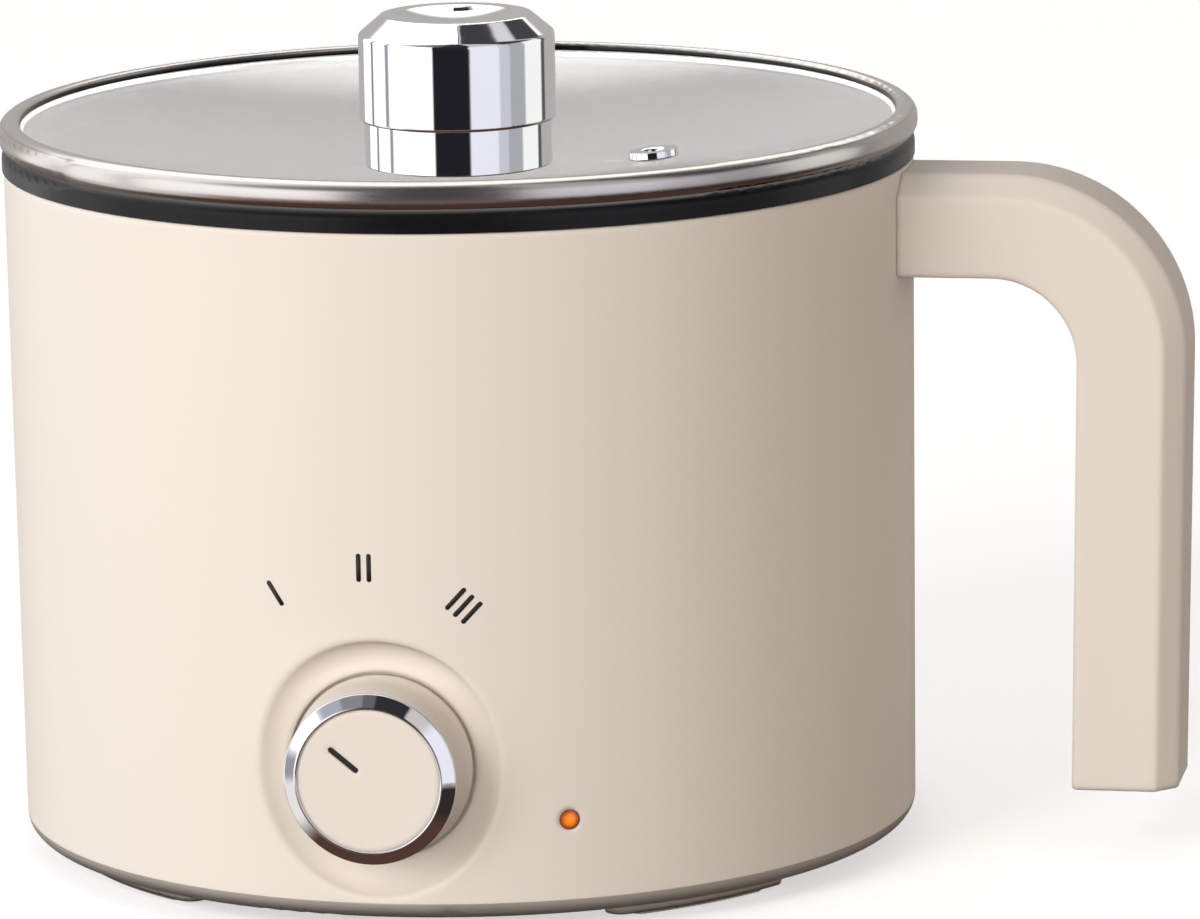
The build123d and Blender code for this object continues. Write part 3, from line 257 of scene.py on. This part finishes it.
# Materials: each starts from one Principled shader, and noise in object space gives it variation
class Finish:
    """A material under construction: its Principled shader and the nodes that feed it."""

    def __init__(self, name, color, roughness, **sockets):
        self.material = bpy.data.materials.new(name)
        self.material.use_nodes = True
        self.tree = self.material.node_tree
        self.shader = self.tree.nodes["Principled BSDF"]
        self.place = self.tree.nodes.new("ShaderNodeTexCoord").outputs["Object"]
        self.feed("Base Color", color)
        self.feed("Roughness", roughness)
        for socket, value in sockets.items():
            self.feed(socket.replace("_", " "), value)

    def feed(self, socket, value):
        """Sets a socket of the shader, from another socket or a plain value."""
        plug(self.tree, self.shader.inputs[socket], value)

    def noise(self, size, detail=3.0, stretch=(1, 1, 1)):
        """Noise whose features are about size metres across, stretched along the axes."""
        mapping = self.tree.nodes.new("ShaderNodeMapping")
        mapping.inputs["Scale"].default_value = [1 / (size * s) for s in stretch]
        self.tree.links.new(self.place, mapping.inputs["Vector"])
        texture = self.tree.nodes.new("ShaderNodeTexNoise")
        texture.inputs["Scale"].default_value = 1
        texture.inputs["Detail"].default_value = detail
        self.tree.links.new(mapping.outputs["Vector"], texture.inputs["Vector"])
        return texture.outputs["Fac"]

    def off_axis(self, start, end):
        """A share that goes from 0 to 1 between two distances from the pot's upright axis."""
        flat = vector_node(self.tree, "MULTIPLY", self.place, (1, 1, 0))
        return map_range(self.tree, vector_node(self.tree, "LENGTH", flat), (start, end))

    def height(self, start, end):
        """A share that goes from 0 to 1 between two heights."""
        return map_range(self.tree, split_vector(self.tree, self.place)["Z"], (start, end))

    def vary_color(self, factor, first, second):
        """Base colour that runs from one colour to another as a factor rises."""
        self.feed("Base Color", mix_colors(self.tree, factor, first, second))

    def shade(self, factor, color):
        """Base colour, already varied, that turns into another one as a factor rises."""
        varied = self.shader.inputs["Base Color"].links[0].from_socket
        self.vary_color(factor, varied, color)

    def vary_roughness(self, factor, low, high):
        """Roughness that runs from one value to another as a factor rises."""
        self.feed("Roughness", map_range(self.tree, factor, target=(low, high)))

    def soften(self, radius):
        """Edges and facets that catch the light as if rounded to a radius."""
        edge = self.tree.nodes.new("ShaderNodeBevel")
        edge.samples = edge_samples
        edge.inputs["Radius"].default_value = radius
        self.feed("Normal", edge.outputs["Normal"])
        return edge.outputs["Normal"]

    def bump(self, factor, height, strength=1.0, over=None):
        """Relief of a height in metres, over softened edges or other relief where that is given."""
        relief = self.tree.nodes.new("ShaderNodeBump")
        relief.inputs["Strength"].default_value = strength
        relief.inputs["Distance"].default_value = height
        self.tree.links.new(factor, relief.inputs["Height"])
        if over:
            self.tree.links.new(over, relief.inputs["Normal"])
        self.feed("Normal", relief.outputs["Normal"])
        return relief.outputs["Normal"]


def cream_plastic():
    """Matt moulded plastic, with relief along the shell's base."""
    finish = Finish("cream_plastic", color=(0.80, 0.725, 0.645), roughness=0.4, IOR=1.25)
    finish.vary_color(finish.noise(60 * MM), (0.795, 0.72, 0.64), (0.815, 0.74, 0.66))
    finish.vary_roughness(finish.noise(4 * MM), low=0.36, high=0.46)
    foot = finish.height(0, wall_foot_height)
    rounded = finish.bump(foot, height=foot_relief, over=finish.soften(moulded_edge))
    grain = finish.noise(0.35 * MM, detail=2)
    finish.bump(grain, height=0.012 * MM, strength=0.35, over=rounded)
    return finish.material


def black_coating():
    """Non-stick coating of the cooking pot, finely speckled."""
    finish = Finish("black_coating", color=(0.006, 0.006, 0.007), roughness=0.3, IOR=1.3)
    speckle = finish.noise(1.2 * MM, detail=1)
    finish.vary_color(speckle, (0.004, 0.004, 0.005), (0.009, 0.009, 0.010))
    finish.vary_roughness(finish.noise(3 * MM), low=0.24, high=0.36)
    finish.bump(finish.noise(0.5 * MM), height=0.01 * MM, strength=0.4)
    return finish.material


def lid_steel():
    """Brushed steel of the lid's ring, darker in its channel."""
    finish = Finish("lid_steel", color=(0.66, 0.62, 0.60), roughness=0.24, Metallic=1.0)
    finish.vary_color(finish.noise(20 * MM), (0.62, 0.58, 0.56), (0.70, 0.66, 0.64))
    # The ring's colour turns dark inside its channel, in from its outer edge and below its top
    ring_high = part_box("lid_ring")[1]
    side = ring_high.x - dark_channel_side
    top = ring_high.z - dark_channel_top
    inside = finish.off_axis(side, side - dark_channel_fade)
    below = finish.height(top, top - dark_channel_fade)
    finish.shade(math_node(finish.tree, "MULTIPLY", inside, below), dark_channel_color)
    brushing = finish.noise(3 * MM, stretch=(1, 1, 0.05))
    finish.vary_roughness(brushing, low=0.20, high=0.28)
    finish.soften(rolled_edge)
    return finish.material


def chrome():
    """Bright plating."""
    finish = Finish("chrome", color=(0.92, 0.92, 0.93), roughness=0.04, Metallic=1.0)
    finish.vary_color(finish.noise(10 * MM), (0.90, 0.90, 0.91), (0.94, 0.94, 0.95))
    finish.vary_roughness(finish.noise(6 * MM), low=0.02, high=0.06)
    finish.soften(plated_edge)
    return finish.material


def glass():
    """Clear glass, with a coat for its strong mirror at a low angle."""
    finish = Finish(
        "glass",
        color=(0.95, 0.965, 0.96),
        roughness=0.0,
        IOR=1.5,
        Transmission_Weight=1.0,
        Coat_Weight=1.0,
        Coat_IOR=2.0,
        Coat_Roughness=0.02,
    )
    finish.vary_roughness(finish.noise(30 * MM), low=0.0, high=0.03)
    return finish.material


def amber_lens():
    """Lit lens: bright over the lamp on its axis, deep amber towards its edge."""
    low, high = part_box("lamp_lens")
    finish = Finish(
        "amber_lens", color=(0.95, 0.26, 0.02), roughness=0.2, Emission_Color=(1.0, 0.22, 0.01)
    )
    tree = finish.tree
    axis = (sin(lamp_turn), -cos(lamp_turn), 0)
    level = vector_node(tree, "SUBTRACT", finish.place, (0, 0, (low.z + high.z) / 2))
    distance = vector_node(tree, "LENGTH", vector_node(tree, "CROSS_PRODUCT", level, axis))
    away = map_range(tree, distance, (lens_bright_radius, lens_dark_radius))
    finish.vary_color(away, (1.0, 0.20, 0.01), (0.20, 0.045, 0.006))
    finish.feed("Emission Strength", map_range(tree, away, target=(lens_glow, 0)))
    finish.vary_roughness(finish.noise(1 * MM), low=0.12, high=0.28)
    return finish.material


def plain(name, color, roughness, metallic):
    """A hidden or small piece's material: two near tones, spread roughness and a fine grain."""
    finish = Finish(name, color, roughness, Metallic=metallic)
    darker = tuple(plain_dark_share * c for c in color)
    finish.vary_color(finish.noise(plain_tone_size), color, darker)
    finish.vary_roughness(
        finish.noise(plain_rough_size),
        low=plain_smooth_share * roughness,
        high=plain_rough_share * roughness,
    )
    finish.bump(finish.noise(plain_grain_size), plain_grain_height, plain_grain_strength)
    return finish.material


materials = {
    "cream_plastic": cream_plastic(),
    "black_coating": black_coating(),
    "lid_steel": lid_steel(),
    "chrome": chrome(),
    "glass": glass(),
    "amber_lens": amber_lens(),
}
for name, settings in plain_finishes.items():
    materials[name] = plain(name, *settings)

# Each piece takes its slot's finish, and mirrors show the cards and none of the pot's own pieces
for part in frame["record"]["subparts"]:
    piece = frame["nodes"][part["node"]]
    piece.data.materials.clear()
    piece.data.materials.append(materials[part["material_slot"]])
    piece.visible_glossy = False


def add_object(name, data):
    """A new object in the scene."""
    thing = bpy.data.objects.new(name, data)
    bpy.context.scene.collection.objects.link(thing)
    return thing


def add_mesh(name, vertices, faces, material):
    """A new mesh object in the scene, with one material."""
    mesh = bpy.data.meshes.new(name)
    mesh.from_pydata(vertices, [], faces)
    mesh.materials.append(material)
    return add_object(name, mesh)


# Heat marks: one, two and three short bars printed on the wall, fanned around the dial's axis
shell_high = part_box("outer_shell")[1]
dial_low, dial_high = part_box("dial_knob")
dial_height = (dial_low.z + dial_high.z) / 2
wall_top_radius = shell_high.x
wall_foot_radius = wall_top_radius - wall_draft


def wall_radius(height):
    """Outer radius of the shell's wall at a height."""
    share = (height - wall_foot_height) / (shell_high.z - wall_foot_height)
    return wall_foot_radius + share * (wall_top_radius - wall_foot_radius)


def wall_point(x, height, lift):
    """A point on the front of the wall, a little proud of it or behind it."""
    radius = wall_radius(height) + lift
    return Vector((x, -sqrt(radius**2 - x**2), height))


def bar_outline():
    """Round-ended outline of one printed bar, standing upright about its middle."""
    straight = mark_length / 2 - mark_width / 2
    points = []
    for end in (1, -1):
        for step in range(mark_segments + 1):
            turn = pi * step / mark_segments
            x = end * mark_width / 2 * cos(turn)
            points.append((x, end * (straight + mark_width / 2 * sin(turn))))
    return points


def add_mark(count, turn, distance, lean):
    """A mark of parallel bars on the wall, set around the dial's axis and leaning on its own."""
    middle_x = distance * sin(turn)
    middle_z = dial_height + distance * cos(turn)
    vertices = []
    faces = []
    for bar in range(count):
        offset = (bar - (count - 1) / 2) * mark_pitch
        ring = []
        for across, along in bar_outline():
            side = across + offset
            x = middle_x + side * cos(lean) + along * sin(lean)
            z = middle_z - side * sin(lean) + along * cos(lean)
            ring.append((x, z))
        start = len(vertices)
        size = len(ring)
        vertices += [wall_point(x, z, mark_lift) for x, z in ring]
        vertices += [wall_point(x, z, -mark_lift) for x, z in ring]
        faces.append(list(range(start, start + size)))
        for i in range(size):
            j = (i + 1) % size
            faces.append([start + i, start + size + i, start + size + j, start + j])
    slot, body = "pointer_black", "housing"
    piece = add_mesh(f"heat_mark_{count}", vertices, faces, materials[slot])
    piece.data.shade_smooth()
    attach(piece, body)


for mark in heat_marks:
    add_mark(*mark)


# Camera
def direction(azimuth, elevation):
    """Unit vector from the object to a point at an azimuth from -Y and an elevation."""
    flat = cos(elevation)
    return Vector((sin(azimuth) * flat, -cos(azimuth) * flat, sin(elevation)))


def add_camera():
    """The photograph's camera, rolled about its line of sight."""
    data = bpy.data.cameras.new("camera")
    data.sensor_width = sensor_width
    data.lens = focal_pixels * sensor_width / photo_width
    camera = add_object("camera", data)
    back = direction(camera_azimuth, camera_elevation)
    right = Vector((cos(camera_azimuth), sin(camera_azimuth), 0))
    basis = Matrix((right, back.cross(right), back)).transposed().to_4x4()
    stand = Matrix.Translation(camera_aim + back * camera_distance)
    camera.matrix_world = stand @ basis @ Matrix.Rotation(camera_roll, 4, "Z")
    bpy.context.scene.camera = camera


# Floor and light
def add_floor():
    """A white floor with faint shadows, which mirrors don't show and which throws no light back."""
    finish = Finish(
        "floor",
        color=(0.9, 0.9, 0.9),
        roughness=0.8,
        Emission_Color=white,
        Emission_Strength=floor_glow,
    )
    finish.vary_color(finish.noise(300 * MM), (0.90, 0.90, 0.90), (0.88, 0.88, 0.88))
    reach = floor_reach
    corners = [(-reach, -reach, 0), (reach, -reach, 0), (reach, reach, 0), (-reach, reach, 0)]
    floor = add_mesh("floor", corners, [(0, 1, 2, 3)], finish.material)
    floor.visible_glossy = False
    floor.visible_diffuse = False


def add_key():
    """A large soft light from the left, which mirrors and glass don't show."""
    light = bpy.data.lights.new("key", "AREA")
    light.size = key_size
    light.energy = key_power
    light.color = key_color
    lamp = add_object("key", light)
    out = direction(key_azimuth, key_elevation)
    lamp.location = camera_aim + out * key_distance
    lamp.rotation_euler = out.to_track_quat("Z", "Y").to_euler()
    lamp.visible_glossy = False
    lamp.visible_transmission = False


def card_ring(tree, turn, cards):
    """A colour socket for a ring of cards, by the share of a full turn from behind the pot."""
    ramp = tree.nodes.new("ShaderNodeValToRGB")
    tree.links.new(turn, ramp.inputs["Fac"])
    places = []
    start = -half_turn
    for end, color in cards:
        places += [(start + card_edge, color), (end - card_edge, color)]
        start = end
    stops = ramp.color_ramp.elements
    stops.remove(stops[1])
    for number, (angle, color) in enumerate(places):
        share = (angle + half_turn) / (2 * half_turn)
        stop = stops.new(share) if number else stops[0]
        stop.position = share
        stop.color = (*color, 1)
    return ramp.outputs["Color"]


def pass_over(tree, value, band, first, second):
    """A colour socket that goes smoothly from one colour to another as a value crosses a band."""
    return mix_colors(tree, map_range(tree, value, band, smooth=True), first, second)


def add_world():
    """Soft light from the left for dull surfaces, rings of cards for mirrors, white for the eye."""
    world = bpy.data.worlds.new("studio")
    world.use_nodes = True
    bpy.context.scene.world = world
    tree = world.node_tree
    way = tree.nodes.new("ShaderNodeVectorRotate")
    way.rotation_type = "Z_AXIS"
    way.inputs["Angle"].default_value = -camera_azimuth
    generated = tree.nodes.new("ShaderNodeTexCoord").outputs["Generated"]
    tree.links.new(generated, way.inputs["Vector"])
    across, away, height = split_vector(tree, way.outputs["Vector"])
    from_camera = math_node(tree, "ARCTAN2", across, math_node(tree, "MULTIPLY", away, -1.0))
    turn = math_node(tree, "MULTIPLY_ADD", from_camera, 1 / (2 * pi), 0.5)

    high = card_ring(tree, turn, high_cards)
    edge = card_ring(tree, turn, edge_cards)
    level = card_ring(tree, turn, level_cards)
    low = card_ring(tree, turn, low_cards)
    mirrored = pass_over(tree, height, high_band, level, high)
    mirrored = pass_over(tree, height, edge_band, mirrored, edge)
    mirrored = pass_over(tree, height, high_again_band, mirrored, high)
    mirrored = pass_over(tree, height, low_band, mirrored, low)
    mirrored = pass_over(tree, height, floor_band, mirrored, floor_card)

    soft = pass_over(tree, across, front_band, left_wall, front_wall)
    soft = pass_over(tree, across, right_band, soft, right_wall)
    soft = pass_over(tree, height, ceiling_band, soft, ceiling)
    soft = pass_over(tree, height, ground_band, soft, ground)

    path = tree.nodes.new("ShaderNodeLightPath").outputs
    color = mix_colors(tree, path["Is Glossy Ray"], soft, mirrored)
    color = mix_colors(tree, path["Is Camera Ray"], color, white)
    tree.links.new(color, tree.nodes["Background"].inputs["Color"])


add_camera()
add_floor()
add_key()
add_world()
bpy.context.scene.view_settings.view_transform = "Standard"
